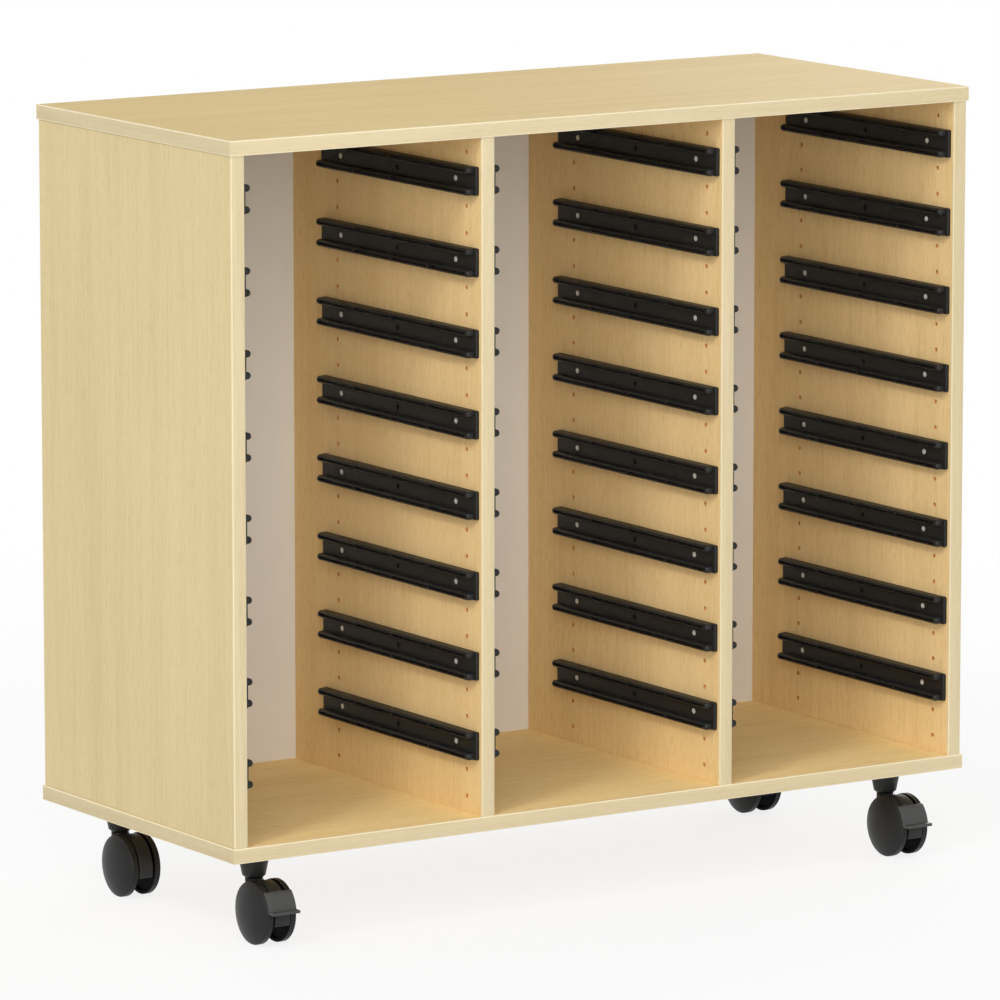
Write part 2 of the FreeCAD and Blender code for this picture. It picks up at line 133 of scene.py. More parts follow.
class BoardSettings(bpy.types.PropertyGroup):
    """Boards and their edging"""
    hole_radius: length("Hole radius", "Radius of a drilled shelf hole", 0.00275)
    hole_depth: length("Hole depth", "Depth of the holes in the outer sides", 0.012)
    hole_pitch: length("Hole pitch", "Height from one row of holes to the next", 0.032)
    row_margin: length("Row margin", "Base to the lowest row of holes", 0.020)
    front_column: length("Front column", "Front of an upright to the front column of holes", 0.033)
    column_spacing: length("Column spacing", "Front column to rear column", 0.288)
    edge_round: length("Edge rounding", "Radius along the corners of the edging", 0.0012)
    arris: length("Board arris", "Tiny rounding along the boards' own corners", 0.0004)
    board_colour: colour("Board", "Pale maple laminate", tint(211, 194, 151))
    # Painted shade: the top takes a deeper copy of the laminate, darkened where more light falls
    top_colour: colour("Top", "Laminate of the top, a shade deeper as painted shade", tint(211, 187, 132))
    # Painted light: the inside of the bays takes a paler, warmer copy of the board laminate; its flecks are the
    # laminate's own
    inner_colour: colour("Inside", "Flecked laminate inside the bays, paler and warmer as painted light", tint(236, 205, 149))
    # Painted light: the floors of the bays take a lighter copy of the laminate
    bay_floor_colour: colour("Bay floor", "Laminate of the base, a shade lighter as painted light", tint(250, 220, 157))
    edging_colour: colour("Edging", "Edging strips", tint(212, 197, 161))
    # Painted highlight: a paler colour laid on the rounded corners of the edging strips
    painted_highlight_colour: colour("Painted highlight", "Paler corners of the edging", tint(244, 232, 203))
    back_colour: colour("Back", "White back panel", tint(234, 228, 218))
    core_colour: colour("Hole wall", "Raw chipboard inside the holes", tint(226, 160, 94))


class RunnerSettings(bpy.types.PropertyGroup):
    """Moulded runners and their screws"""
    plate: length("Plate", "Thickness of the back plate", 0.005)
    reach: length("Reach", "Wall to the nose of a flange", 0.0145)
    flange: length("Flange", "Height of a flange", 0.0085)
    setback: length("Setback", "Front of the plate to the flanges", 0.0042)
    step: length("Step", "Plate's upper or lower edge to the flange beside it", 0.00006)
    nose_round: length("Nose radius", "Rounding of a flange's nose", 0.0040)
    end_round: length("End radius", "Rounding of a flange's ends", 0.0032)
    plate_round: length("Plate radius", "Rounding of the plate's corners", 0.0022)
    corner_round: length("Corner radius", "Rounding of the other corners", 0.0009)
    groove: length("Groove", "Height of the groove along a flange's nose", 0.0034)
    groove_depth: length("Groove depth", "Depth of that groove", 0.0045)
    rib: length("Rib", "Width of the ribs that divide the groove", 0.0022)
    blunt: length("Blunt end", "Flange's end to the start of its groove", 0.006)
    screw_offset: length("Screw offset", "Runner's middle to each screw", 0.128)
    screw_radius: length("Screw radius", "Radius of a screw's head", 0.0034)
    screw_crown: length("Screw crown", "Height of a screw's head", 0.0011)
    recess_radius: length("Recess radius", "Radius of the recess round a screw", 0.0044)
    recess_depth: length("Recess depth", "Depth of that recess", 0.0006)
    plastic_colour: colour("Plastic", "Black moulded plastic", tint(31, 31, 30))
    steel_colour: colour("Steel", "Screws, stems and axles", tint(234, 233, 228))


class CastorSettings(bpy.types.PropertyGroup):
    """Twin-wheel castors"""
    dome: length("Dome", "Height of the dome on a wheel's face", 0.0085)
    bulge: length("Bulge", "Dome's summit past the plain wheel", 0.0022)
    wheel_round: length("Tread radius", "Rounding of the tread's corners", 0.0006)
    wheel_wall: length("Wheel wall", "Wall of the hollow wheel", 0.0032)
    hub_radius: length("Hub radius", "Radius of the boss inside a wheel", 0.0075)
    bore: length("Bore", "Radius of the axle's bore in that boss", 0.00305)
    bore_depth: length("Bore depth", "Depth of that bore", 0.009)
    hood_round: length("Hood rounding", "Rounding along the hood", 0.0010)
    hood_width: length("Hood width", "Width of the housing's solid", 0.020)
    hood_radius: length("Hood radius", "Radius of the hood round the axle", 0.0368)
    hood_wall: length("Hood wall", "Wall of the hood over the slot", 0.002)
    slot_width: length("Slot width", "Width of the pedal's slot", 0.006)
    slot_low: length("Slot opening", "Axle up to where the slot is open", 0.018)
    slot_high: length("Slot end", "Axle up to the end of the slot", 0.0292)
    hood_inset: length("Hood inset", "Hood's sides in from that width", 0.001)
    pedal_round: length("Pedal rounding", "Rounding along the pedal's edges", 0.0006)
    collar_top: length("Collar top", "Radius of a collar at the base", 0.020)
    collar_low: length("Collar end", "Radius of a collar at its lower end", 0.0134)
    collar_bevel: length("Collar bevel", "Bevel round a collar's lower end", 0.003)
    collar_bore: length("Collar bore", "Radius of the hole for the stem", 0.0056)
    tab_height: length("Tab height", "Axle up to the underside of the pedal's tab", 0.0044)
    castor_colour: colour("Housing", "Black plastic of the housings and collars", tint(36, 36, 36))
    # The pedals' shields and tabs are glossier plastic, and their lighter grey than the housings is a painted sheen
    pedal_sheen_colour: colour("Pedal", "Glossier plastic of the pedals' shields and tabs, a lighter grey as painted sheen", tint(57, 57, 56))
    wheel_colour: colour("Wheel", "Dark grey plastic", tint(33, 33, 33))
    # Painted shade: the inside of a hollow wheel is near black, where only shade falls
    hollow_shade_colour: colour("Wheel hollow", "Painted shade inside a wheel, matt black", tint(10, 10, 10))


class StageSettings(bpy.types.PropertyGroup):
    """Floor, light and camera"""
    floor_colour: colour("Floor", "Pale floor", (0.86, 0.86, 0.86))
    floor_half: length("Floor", "Half the width of the floor", 40.0)
    floor_white: amount("White", "Share of plain white in the floor as seen", 0.82, min=0.0, max=1.0)
    shadow_near: length("Shadow", "Reach of the full shadow on the floor", 0.7)
    shadow_far: length("Shadow end", "Where the shadow has faded into white", 2.6)
    sky_strength: amount("Sky", "Level of the even light", 0.52, min=0.0)
    key_power: amount("Key", "Power of the large front light", 515.0, min=0.0, unit="POWER")
    fill_power: amount("Fill", "Power of the light on the left", 144.0, min=0.0, unit="POWER")
    rear_power: amount("Rear", "Power of the light behind", 60.0, min=0.0, unit="POWER")
    azimuth: amount("Azimuth", "Camera's angle round the unit", -0.574705, subtype="ANGLE")
    elevation: amount("Elevation", "Camera's angle above the floor", 0.164630, subtype="ANGLE")
    distance: length("Distance", "Camera to the point it looks at", 9.348)
    focal: amount("Focal length", "In pixels of a 1000 pixel image", 7717.7, min=1.0)
    target: bpy.props.FloatVectorProperty(
        name="Target", description="Point that the camera looks at", default=(-0.01043, 0.0, 0.45965), size=3,
        subtype="XYZ", unit="LENGTH")


class UnitSettings(bpy.types.PropertyGroup):
    """All settings of the unit"""
    board: bpy.props.PointerProperty(type=BoardSettings)
    runner: bpy.props.PointerProperty(type=RunnerSettings)
    castor: bpy.props.PointerProperty(type=CastorSettings)
    stage: bpy.props.PointerProperty(type=StageSettings)


class Value:
    """A socket whose arithmetic adds Math nodes to its tree."""

    def __init__(self, graph, socket):
        self.graph = graph
        self.socket = socket

    def maths(self, operation, first, second):
        return self.graph.add("ShaderNodeMath", {"operation": operation}, {0: first, 1: second})

    def __add__(self, other):
        return self.maths("ADD", self, other)

    def __sub__(self, other):
        return self.maths("SUBTRACT", self, other)

    def __mul__(self, other):
        return self.maths("MULTIPLY", self, other)

    def __mod__(self, other):
        return self.maths("FLOORED_MODULO", self, other)

    def __rsub__(self, other):
        return self.maths("SUBTRACT", other, self)

    def __rmod__(self, other):
        return self.maths("FLOORED_MODULO", other, self)

    __radd__ = __add__
    __rmul__ = __mul__


class Graph:
    """A node tree that is filled one node at a time."""

    def __init__(self, tree):
        self.tree = tree
        tree.nodes.clear()

    def put(self, target, thing):
        """Links or sets one input socket."""
        if isinstance(thing, Value):
            self.tree.links.new(thing.socket, target)
        else:
            target.default_value = thing

    def add(self, kind, settings=None, sockets=None, out=0):
        """Adds a node of one kind, its settings first and then its sockets, and gives back one output."""
        made = self.tree.nodes.new(kind)
        for name, setting in (settings or {}).items():
            if name == "stops":
                self.set_stops(made.color_ramp, setting)
            else:
                setattr(made, name, setting)
        for key, thing in (sockets or {}).items():
            self.put(made.inputs[key], thing)
        return Value(self, made.outputs[out]) if made.outputs else made

    @staticmethod
    def set_stops(ramp, stops):
        while len(ramp.elements) < len(stops):
            ramp.elements.new(1.0)
        for element, (position, shade) in zip(ramp.elements, stops):
            element.position = position
            element.color = (*shade, 1.0)

    def blend(self, factor, low, high, mode="MIX"):
        """A mix of two colours."""
        sockets = {"Factor": factor, 6: low, 7: high}
        return self.add("ShaderNodeMix", {"data_type": "RGBA", "blend_type": mode}, sockets, out=2)

    def noise(self, coords, scale, detail=4.0, roughness=0.55):
        sockets = {"Vector": coords, "Scale": scale, "Detail": detail, "Roughness": roughness}
        return self.add("ShaderNodeTexNoise", {}, sockets)

    def squeezed(self, coords, stretch):
        """Coordinates drawn out along an axis, for grain and brushing."""
        return self.add("ShaderNodeMapping", {}, {"Vector": coords, "Scale": stretch})

    def ramp(self, factor, *stops):
        return self.add("ShaderNodeValToRGB", {"stops": stops}, {0: factor})

    def level(self, factor, low, high):
        """A value brought from 0..1 to low..high."""
        return factor * (high - low) + low


def finish_name(name):
    """Name of a finish's material, apart from those that the frame brings along."""
    return f"{name}_finish"


class Finish(Graph):
    """A surface material with one Principled shader."""

    def __init__(self, name):
        self.material = bpy.data.materials.new(finish_name(name))
        self.material.use_nodes = True
        super().__init__(self.material.node_tree)
        self.coords = self.add("ShaderNodeTexCoord", {}, {}, out=3)

    def shade(self, height=None, bump=0.2, bump_distance=0.001, **sockets):
        """Ends the tree: what is constant goes on the shader's own sockets."""
        if height is not None:
            relief = {"Strength": bump, "Distance": bump_distance, "Height": height}
            sockets["normal"] = self.add("ShaderNodeBump", {}, relief)
        named = {key.replace("_", " ").title().replace("Ior", "IOR"): thing for key, thing in sockets.items()}
        shader = self.add("ShaderNodeBsdfPrincipled", {}, named)
        self.add("ShaderNodeOutputMaterial", {}, {0: shader})
        return self.material


def opaque(shade):
    return (*shade, 1.0)


def scaled(shade, factor):
    """The same colour, lighter or darker."""
    return tuple(min(1.0, channel * factor) for channel in shade)


def grain_finish(name, shade, along, figure, scuff_and_highlight=None, highlight_share=0.7):
    """Printed maple: long fine streaks along one axis, short flecks, a slow drift of tone, and a paler painted
    highlight on the edging's rounded corners.
    """
    made = Finish(name)

    def drawn(across, lengthwise):
        stretch = [across] * 3
        stretch["xyz".index(along)] = lengthwise
        return made.squeezed(made.coords, stretch)

    stretched = 0.035
    lines = drawn(1.0, stretched)
    streaks = made.noise(lines, 190.0, 6.0, 0.62)
    bands = made.noise(lines, 34.0, 3.0, 0.5)
    flecks = made.noise(drawn(2.4, 7 * stretched), 260.0, 3.0)
    drift = made.noise(made.coords, 2.2, 2.0)
    warm = scaled(shade, 0.93)
    warm = (warm[0], warm[1] * 0.97, warm[2] * 0.90)
    untouched, pore_brown, pale_brown = (1.0, 1.0, 1.0), (0.74, 0.64, 0.50), (0.95, 0.94, 0.92)
    tone = made.ramp(streaks * 0.55 + bands * 0.45, (0.30, warm), (0.52, shade), (0.74, scaled(shade, 1.07)))
    pores = made.ramp(flecks, (0.34, pore_brown), (0.48, untouched))
    tone = made.blend(0.55 * figure, tone, pores, "MULTIPLY")
    slow = made.ramp(drift, (0.3, pale_brown), (0.7, untouched))
    tone = made.blend(0.8, tone, slow, "MULTIPLY")
    # Painted highlight: faces marked as going round a corner blend towards the paler colour
    if scuff_and_highlight:
        corner = made.add("ShaderNodeAttribute", {"attribute_name": ARRIS}, {}, out=2)
        tone = made.blend(corner * highlight_share, tone, opaque(scuff_and_highlight))
    rough = made.level(streaks, 0.46, 0.60)
    return made.shade(height=streaks * 0.7 + flecks * 0.3, bump=0.05, bump_distance=0.0004,
                      base_color=tone, roughness=rough, specular_ior_level=0.06)


def chipboard_finish(name, shade):
    """Raw chipboard, seen inside the drilled holes."""
    made = Finish(name)
    chips = made.noise(made.coords, 900.0, 3.0)
    tone = made.ramp(chips, (0.35, scaled(shade, 0.6)), (0.65, scaled(shade, 1.25)))
    return made.shade(height=chips, bump=0.5, bump_distance=0.0006, base_color=tone, roughness=0.85)


def white_finish(name, shade):
    """White faced board with a faint paper-like mottle."""
    made = Finish(name)
    mottle = made.noise(made.coords, 14.0, 4.0)
    fine = made.noise(made.coords, 700.0, 2.0)
    tone = made.ramp(mottle, (0.3, scaled(shade, 0.97)), (0.7, shade))
    return made.shade(height=fine, bump=0.04, bump_distance=0.0003, base_color=tone,
                      roughness=made.level(fine, 0.5, 0.62), specular_ior_level=0.35)


def moulded_finish(name, shade, gloss, shine, texture=900.0, scuff=1.12):
    """Moulded plastic: fine spark texture, faint flow marks and a few scuffed places."""
    made = Finish(name)
    spark = made.noise(made.coords, texture, 2.0)
    flow = made.noise(made.coords, 26.0, 4.0, 0.6)
    patches = made.noise(made.coords, 75.0, 5.0, 0.7)
    scuff_and_highlight = made.ramp(patches, (0.55, scaled(shade, 0.92)), (0.75, scaled(shade, scuff)))
    tone = made.blend(flow * 0.5, scuff_and_highlight, opaque(scaled(shade, 0.88)))
    return made.shade(height=spark, bump=0.12, bump_distance=0.0003, base_color=tone,
                      roughness=made.level(flow, gloss, gloss + 0.14), specular_ior_level=shine)


def steel_finish(name, shade):
    """Bright steel with fine turning marks."""
    made = Finish(name)
    marks = made.noise(made.squeezed(made.coords, (1.0, 1.0, 6.0)), 800.0, 3.0)
    tone = made.ramp(marks, (0.3, scaled(shade, 0.82)), (0.7, shade))
    return made.shade(height=marks, bump=0.05, bump_distance=0.0002, base_color=tone,
                      roughness=made.level(marks, 0.30, 0.48), metallic=0.55)


def finish(name):
    """A finish by name, made when it is first asked for."""
    found = bpy.data.materials.get(finish_name(name))
    if found:
        return found
    unit = bpy.context.scene.tray_unit
    board, runner, castor = unit.board, unit.runner, unit.castor
    edged = {"figure": 0.3, "scuff_and_highlight": tuple(board.painted_highlight_colour)}
    makers = {
        "upright_maple": (grain_finish, board.board_colour, {"along": "z", "figure": 0.5}),
        # The top: a deeper copy of the laminate, which is painted shade
        "level_maple": (grain_finish, board.top_colour, {"along": "x", "figure": 0.5}),
        # Inside the bays: a paler, warmer copy of the laminate, which is painted light
        "inner_upright": (grain_finish, board.inner_colour, {"along": "z", "figure": 0.75}),
        # Bay floors: a lighter copy of the laminate, which is painted light
        "inner_level": (grain_finish, board.bay_floor_colour, {"along": "x", "figure": 0.75}),
        # The edging finishes carry a painted highlight on their rounded corners
        "upright_edging": (grain_finish, board.edging_colour, {"along": "z", "highlight_share": 0.3, **edged}),
        "level_edging": (grain_finish, board.edging_colour, {"along": "x", **edged}),
        "end_edging": (grain_finish, scaled(board.edging_colour, 0.93), {"along": "y", **edged}),
        "hole_wall": (chipboard_finish, board.core_colour, {}),
        "white_board": (white_finish, board.back_colour, {}),
        "runner_plastic": (moulded_finish, runner.plastic_colour, {"gloss": 0.36, "shine": 0.3}),
        "castor_plastic": (moulded_finish, castor.castor_colour, {"gloss": 0.34, "shine": 0.28}),
        # Pedal shields and tabs: real gloss, and a lighter grey that is painted sheen
        "pedal_plastic": (moulded_finish, castor.pedal_sheen_colour, {"gloss": 0.30, "shine": 0.5}),
        "wheel_plastic": (moulded_finish, castor.wheel_colour,
                          {"gloss": 0.34, "texture": 600.0, "scuff": 1.15, "shine": 0.20}),
        # Inside the wheels: a near-black finish, which is painted shade
        "wheel_hollow": (moulded_finish, castor.hollow_shade_colour, {"gloss": 0.6, "shine": 0.08}),
        "steel": (steel_finish, runner.steel_colour, {}),
    }
    make, shade, options = makers[name]
    return make(name, tuple(shade), **options)


def new_object(name, data):
    made = bpy.data.objects.new(name, data)
    bpy.context.scene.collection.objects.link(made)
    return made


def new_piece(name, mesh, *materials):
    """A new object at the origin with these materials."""
    piece = new_object(name, mesh)
    for material in materials:
        piece.data.materials.append(finish(material))
    return piece


@contextmanager
def reshaping(mesh, source=None):
    """A bmesh that starts from a mesh, or from another one, and is written to it at the end."""
    work = bmesh.new()
    work.from_mesh(mesh if source is None else source)
    yield work
    work.to_mesh(mesh)
    work.free()


def mesh_from(name, build):
    """A mesh filled by one bmesh function, with its normals outwards."""
    mesh = bpy.data.meshes.new(name)
    with reshaping(mesh) as work:
        build(work)
        bmesh.ops.remove_doubles(work, verts=work.verts, dist=WELD)
        bmesh.ops.recalc_face_normals(work, faces=work.faces)
    return mesh


def plain(piece, sharp_angle=SMOOTH):
    """Turns the evaluated object into a plain mesh with no modifier, smooth but for its sharp edges."""
    bpy.context.view_layer.update()
    graph = bpy.context.evaluated_depsgraph_get()
    baked = bpy.data.meshes.new_from_object(piece.evaluated_get(graph), depsgraph=graph)
    if not baked.polygons:
        raise RuntimeError(f"{piece.name} came out empty")
    old = piece.data
    piece.modifiers.clear()
    piece.data = baked
    if old.users == 0:
        bpy.data.meshes.remove(old)
    baked.shade_smooth()
    baked.set_sharp_from_angle(angle=math.radians(sharp_angle))
    return piece


def bevel(piece, width, segments=3, angle=30.0, clamped=True):
    made = piece.modifiers.new("bevel", "BEVEL")
    made.width = width
    made.segments = segments
    made.limit_method = "ANGLE"
    made.angle_limit = math.radians(angle)
    made.use_clamp_overlap = clamped
    return piece


def combine(piece, other, operation):
    """Cuts another shape out of a piece or joins it on, and clears the slivers that this leaves."""
    made = piece.modifiers.new("combine", "BOOLEAN")
    made.operation = operation
    made.solver = "EXACT"
    made.use_self = True
    made.object = other
    plain(piece)
    bpy.data.objects.remove(other)
    with reshaping(piece.data) as work:
        bmesh.ops.remove_doubles(work, verts=work.verts, dist=SLIVER)
        bmesh.ops.dissolve_degenerate(work, edges=work.edges, dist=SLIVER)
    return piece


def dress(name, material):
    """Gives a solid of the frame that is shown as it is a finish."""
    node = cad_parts[name]
    node.data.materials.clear()
    node.data.materials.append(finish(material))


def carry(piece, body, slot, *nodes):
    """Hands a finished piece to the body that carries it."""
    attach(piece, body)
    if nodes:
        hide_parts(*nodes)
    return piece


def add_box(work, low, high):
    middle = (Vector(low) + Vector(high)) / 2
    extent = Vector(high) - Vector(low)
    bmesh.ops.create_cube(work, size=1.0, matrix=Matrix.Translation(middle) @ Matrix.Diagonal((*extent, 1.0)))


def add_rod(work, start, end, radius, sides):
    start, end = Vector(start), Vector(end)
    turn = (end - start).to_track_quat("Z", "Y").to_matrix().to_4x4()
    bmesh.ops.create_cone(work, cap_ends=True, segments=sides, radius1=radius, radius2=radius,
                          depth=(end - start).length, matrix=Matrix.Translation((start + end) / 2) @ turn)


def add_loft(work, rings):
    """A closed skin through rings that have the same number of points, capped at both ends."""
    rows = [[work.verts.new(point) for point in ring] for ring in rings]
    work.faces.new(rows[0])
    work.faces.new(rows[-1])
    count = len(rows[0])
    for near, far in zip(rows, rows[1:]):
        for i in range(count):
            j = (i + 1) % count
            work.faces.new((near[i], near[j], far[j], far[i]))


def add_prism(work, outline, place, depth):
    """A closed outline, put in space by place(u, v, w), drawn out from w = 0 to depth."""
    add_loft(work, [[place(u, v, w) for u, v in outline] for w in (0.0, depth)])


def add_lathe(work, profile, place, sides):
    """A closed profile of (along, radius) points turned round place(along, side, up)'s axis."""
    rings = []
    for along, radius in profile:
        if radius <= WELD:
            rings.append([work.verts.new(place(along, 0.0, 0.0))])
            continue
        turns = [2 * math.pi * i / sides for i in range(sides)]
        rings.append([work.verts.new(place(along, radius * math.cos(t), radius * math.sin(t))) for t in turns])
    for first, second in zip(rings, rings[1:] + rings[:1]):
        for i in range(sides):
            j = (i + 1) % sides
            corners = [first[i % len(first)], first[j % len(first)], second[j % len(second)], second[i % len(second)]]
            distinct = list(dict.fromkeys(corners))
            if len(distinct) > 2:
                work.faces.new(distinct)


def rounded(corners, steps=CORNER_STEPS):
    """An outline whose corners (x, y, radius) are rounded."""
    outline = []
    points = [Vector(corner[:2]) for corner in corners]
    for index, (x, y, radius) in enumerate(corners):
        here = Vector((x, y))
        if radius <= 0:
            outline.append((x, y))
            continue
        before = (points[index - 1] - here).normalized()
        after = (points[(index + 1) % len(points)] - here).normalized()
        half = before.angle(after) / 2
        start = here + before * (radius / math.tan(half))
        end = here + after * (radius / math.tan(half))
        centre = here + (before + after).normalized() * (radius / math.sin(half))
        first = start - centre
        sweep = first.angle_signed(end - centre)
        for step in range(steps + 1):
            turned = first.copy()
            turned.rotate(Matrix.Rotation(-sweep * step / steps, 2))
            outline.append(tuple(centre + turned))
    return outline


def node_tree(name, sockets):
    """A geometry tree with inputs of these names and types, and those inputs."""
    tree = bpy.data.node_groups.new(name, "GeometryNodeTree")
    tree.interface.new_socket("Geometry", in_out="OUTPUT", socket_type="NodeSocketGeometry")
    for label, kind in {"Geometry": "Geometry", **sockets}.items():
        tree.interface.new_socket(label, in_out="INPUT", socket_type=f"NodeSocket{kind}")
    graph = Graph(tree)
    group = tree.nodes.new("NodeGroupInput")
    inputs = {socket.name: Value(graph, socket) for socket in group.outputs if socket.name}
    return tree, graph, inputs


def moved(graph, geometry, **how):
    return graph.add("GeometryNodeTransform", {}, {"Geometry": geometry, **how})


def repeated(graph, points, shape, material):
    """Real copies of a shape on the points, in one material."""
    copies = graph.add("GeometryNodeInstanceOnPoints", {}, {"Points": points, "Instance": shape})
    copies = graph.add("GeometryNodeRealizeInstances", {}, {"Geometry": copies})
    return graph.add("GeometryNodeSetMaterial", {}, {"Geometry": copies, "Material": material})


def grow(piece, tree, values):
    """Runs a geometry tree on a piece with named values, and leaves a plain mesh."""
    made = piece.modifiers.new(tree.name, "NODES")
    made.node_group = tree
    names = {item.name: item.identifier for item in tree.interface.items_tree if item.in_out == "INPUT"}
    for name, value in values.items():
        made[names[name]] = value
    return plain(piece)


def drilling_tree():
    """Takes two columns of round holes out of a board, but not where a runner's plate covers them."""
    tree, graph, inputs = node_tree("Drilled rows", {
        "Corner": "Vector", "Column Spacing": "Float", "Row Pitch": "Float", "Rows": "Int", "Covered": "Int",
        "Radius": "Float", "Depth": "Float", "Wall": "Material"})
    rows = inputs["Rows"]
    height = (rows - 1) * inputs["Row Pitch"]
    grid = graph.add("GeometryNodeMeshGrid", {}, {
        "Size X": inputs["Column Spacing"], "Size Y": height, "Vertices X": 2, "Vertices Y": rows})
    shift = graph.add("ShaderNodeCombineXYZ", {}, {0: inputs["Column Spacing"] * 0.5, 1: height * 0.5})
    grid = moved(graph, grid, Translation=shift)
    grid = moved(graph, grid, Rotation=(QUARTER, 0.0, QUARTER))
    grid = moved(graph, grid, Translation=inputs["Corner"])
    row = graph.add("GeometryNodeInputIndex") % rows
    covered = graph.add("FunctionNodeCompare", {"data_type": "FLOAT", "operation": "EQUAL"},
                        {0: row % inputs["Covered"], 1: inputs["Covered"] - 1, "Epsilon": 0.1})
    kept = graph.add("GeometryNodeDeleteGeometry", {"domain": "POINT"}, {"Geometry": grid, "Selection": covered})
    drill = graph.add("GeometryNodeMeshCylinder", {}, {
        "Vertices": HOLE_SIDES, "Radius": inputs["Radius"], "Depth": inputs["Depth"]})
    drill = moved(graph, drill, Rotation=(0.0, QUARTER, 0.0))
    holes = repeated(graph, kept, drill, inputs["Wall"])
    drilled = graph.add("GeometryNodeMeshBoolean", {"operation": "DIFFERENCE", "solver": "EXACT"},
                        {"Mesh 1": inputs["Geometry"], "Mesh 2": holes})
    graph.add("NodeGroupOutput", {}, {0: drilled})
    return tree


def tray_rows_tree():
    """Repeats a right-hand fitting and its mirror image at every level of every bay."""
    tree, graph, inputs = node_tree("Tray rows", {
        "Bays": "Int", "Levels": "Int", "Bay Step": "Float", "Level Step": "Float", "Middle": "Vector",
        "Material": "Material"})
    mirrored = moved(graph, inputs["Geometry"], Scale=(-1.0, 1.0, 1.0))
    mirrored = graph.add("GeometryNodeFlipFaces", {}, {"Mesh": mirrored})
    pair = graph.add("GeometryNodeJoinGeometry", {}, {"Geometry": mirrored})
    graph.put(pair.socket.node.inputs[0], inputs["Geometry"])
    grid = graph.add("GeometryNodeMeshGrid", {}, {
        "Size X": (inputs["Bays"] - 1) * inputs["Bay Step"], "Size Y": (inputs["Levels"] - 1) * inputs["Level Step"],
        "Vertices X": inputs["Bays"], "Vertices Y": inputs["Levels"]})
    grid = moved(graph, grid, Rotation=(QUARTER, 0.0, 0.0))
    grid = moved(graph, grid, Translation=inputs["Middle"])
    graph.add("NodeGroupOutput", {}, {0: repeated(graph, grid, pair, inputs["Material"])})
    return tree


class UNIT_OT_uprights(bpy.types.Operator):
    """Sides and dividers with their drilled shelf holes"""
    bl_idname = "tray_unit.uprights"
    bl_label = "Uprights"

    def execute(self, context):
        board = context.scene.tray_unit.board
        tree = drilling_tree()
        base_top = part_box("base_panel")[1].z
        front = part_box("upright_edging")[0].y
        for name in UPRIGHTS:
            low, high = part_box(name)
            outer = {"left_side_panel": -1, "right_side_panel": 1}.get(name, 0)
            if outer:
                depth, middle = 2 * board.hole_depth, high.x if outer < 0 else low.x
            else:
                depth, middle = 2 * (high.x - low.x), (low.x + high.x) / 2
            corner = (middle, front + board.front_column, base_top + board.row_margin)
            # Dividers stand inside the bays and take the paler, warmer copy of the laminate: painted light
            face = "upright_maple" if outer else "inner_upright"
            mesh = mesh_from(name, lambda work: add_box(work, low, high))
            piece = new_piece(f"{name}_drilled", mesh, face, "hole_wall")
            grow(bevel(piece, board.arris, 1), tree, {
                "Corner": corner, "Column Spacing": board.column_spacing, "Row Pitch": board.hole_pitch,
                "Rows": ROWS, "Covered": ROWS_PER_LEVEL, "Radius": board.hole_radius, "Depth": depth,
                "Wall": finish("hole_wall")})
            if outer:
                self.line_inside(piece, -outer)
            carry(piece, CARCASS, "board", name)
        return {"FINISHED"}

    @staticmethod
    def line_inside(piece, inward, facing=0.9):
        """Gives a side's inner face the paler, warmer copy of the laminate used in the bays, which is painted light.
        """
        slots = piece.data.materials
        slots.append(finish("inner_upright"))
        faced = slots.find(finish_name("upright_maple"))
        for face in piece.data.polygons:
            if face.material_index == faced and face.normal.x * inward > facing:
                face.material_index = len(slots) - 1


class UNIT_OT_levels(bpy.types.Operator):
    """Top, base and white back panel"""
    bl_idname = "tray_unit.levels"
    bl_label = "Top, base and back"

    def execute(self, context):
        # The top takes the deeper copy of the laminate: painted shade
        dress("top_panel", "level_maple")
        # The base takes the lighter bay-floor copy of the laminate: painted light
        dress("base_panel", "inner_level")
        dress("back_panel", "white_board")
        return {"FINISHED"}


def edge_section(inner, outer, low, high, radius):
    """Outline of an edging strip, rounded along its two outer corners."""
    return rounded([(inner, low, 0), (outer, low, radius), (outer, high, radius), (inner, high, 0)])


